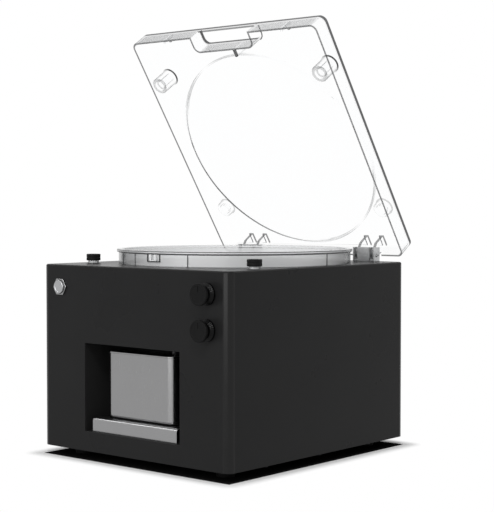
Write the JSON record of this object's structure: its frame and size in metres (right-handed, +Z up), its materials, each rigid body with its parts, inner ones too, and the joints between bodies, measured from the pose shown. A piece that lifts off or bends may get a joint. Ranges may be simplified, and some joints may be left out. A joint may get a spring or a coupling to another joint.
{
  "type": "electric grape peeler",
  "caption": "Countertop grape peeler: black cabinet, round tank with turning peel disc, clear hinged lid, pull-out skin bin, push button and rotary knobs.",
  "frame": {"origin": "on the table under the middle of the cabinet, in the plane of the feet", "axes": "+X to the right seen from the front, +Y to the back, +Z up"},
  "size_m": [0.34, 0.4195, 0.5926],
  "materials": {
    "satin_black_paint": "satin black paint on sheet steel",
    "recess_black": "matt black",
    "clear_plastic": "clear polished plastic",
    "stainless": "brushed stainless steel",
    "bright_steel": "machined bright steel",
    "hinge_steel": "satin steel",
    "zinc_screw": "zinc plated",
    "gloss_black_plastic": "gloss black moulding",
    "black_rubber": "matt black rubber",
    "white_nylon": "white nylon",
    "pale_silicone": "pale silicone",
    "grip_coating": "rough grey coating",
    "cast_aluminium": "cast",
    "motor_grey": "grey enamel",
    "dark_pulley": "dark anodised",
    "board_green": "green board",
    "dark_plastic": "black moulding",
    "galvanised_sheet": "galvanised sheet"
  },
  "bodies": {
    "chassis": {"cabinet_shell": "satin_black_paint", "base_plate": "galvanised_sheet", "base_screws": "zinc_screw", "rear_panel": "satin_black_paint", "rear_screws": "zinc_screw", "foot_front_left": "black_rubber", "foot_front_right": "black_rubber", "foot_rear_left": "black_rubber", "foot_rear_right": "black_rubber", "foot_screws": "zinc_screw", "recess_housing": "recess_black", "bin_shelf": "stainless", "peel_chute": "stainless", "tank": "stainless", "peeling_sleeve": "grip_coating", "feed_collar": "clear_plastic", "collar_seal": "pale_silicone", "latch_keeper": "clear_plastic", "bumper_post_left": "dark_plastic", "bumper_post_right": "dark_plastic", "bumper_cap_left": "black_rubber", "bumper_cap_right": "black_rubber", "hinge_bracket_left": "hinge_steel", "hinge_bracket_right": "hinge_steel", "hinge_pin_left": "bright_steel", "hinge_pin_right": "bright_steel", "hinge_screws": "zinc_screw", "bearing_housing": "cast_aluminium", "upper_bearing": "bright_steel", "lower_bearing": "bright_steel", "shaft_seal": "black_rubber", "housing_bolts": "zinc_screw", "motor": "motor_grey", "motor_stand": "galvanised_sheet", "motor_bolts": "zinc_screw", "drive_belt": "black_rubber", "speed_pot": "dark_plastic", "timer_pot": "dark_plastic", "pot_nuts": "zinc_screw", "button_bezel": "stainless", "button_body": "dark_plastic", "button_nut": "zinc_screw", "control_board": "board_green", "board_standoffs": "zinc_screw", "power_inlet": "dark_plastic"},
    "lid": {"lid": "clear_plastic"},
    "bin": {"collection_bin": "stainless"},
    "rotor": {"main_shaft": "bright_steel", "peeling_disc": "stainless", "disc_cap": "dark_plastic", "disc_wipers": "white_nylon", "driven_pulley": "dark_pulley"},
    "motor_rotor": {"motor_shaft": "bright_steel", "motor_pulley": "dark_pulley"},
    "speed_control": {"speed_knob": "gloss_black_plastic", "speed_shaft": "bright_steel"},
    "timer_control": {"timer_knob": "gloss_black_plastic", "timer_shaft": "bright_steel"},
    "button": {"button_cap": "bright_steel"}
  },
  "joints": [
    {"name": "lid_hinge", "type": "hinge", "parent": "chassis", "child": "lid", "pos_m": [0, 0.18, 0.269], "axis": [-1, 0, 0], "range_deg": [-56, 39]},
    {"name": "bin_slide", "type": "slide", "parent": "chassis", "child": "bin", "axis": [0, -1, 0], "range_m": [0, 0.16]},
    {"name": "button_press", "type": "slide", "parent": "chassis", "child": "button", "axis": [0, 1, 0], "range_m": [0, 0.002], "stiffness_N_per_m": 600, "springref_m": -0.002},
    {"name": "speed_turn", "type": "hinge", "parent": "chassis", "child": "speed_control", "pos_m": [0.134, -0.189, 0.232], "axis": [0, 1, 0], "range_deg": [-140, 140]},
    {"name": "timer_turn", "type": "hinge", "parent": "chassis", "child": "timer_control", "pos_m": [0.134, -0.189, 0.187], "axis": [0, 1, 0], "range_deg": [-140, 140]},
    {"name": "disc_spin", "type": "hinge", "parent": "chassis", "child": "rotor", "pos_m": [0, 0.017, 0.18], "axis": [0, 0, 1], "continuous": true},
    {"name": "motor_spin", "type": "hinge", "parent": "chassis", "child": "motor_rotor", "pos_m": [0, 0.124, 0.09], "axis": [0, 0, 1], "continuous": true}
  ],
  "couplings": [
    {"joint": "motor_spin", "follows": "disc_spin", "ratio": 3}
  ]
}
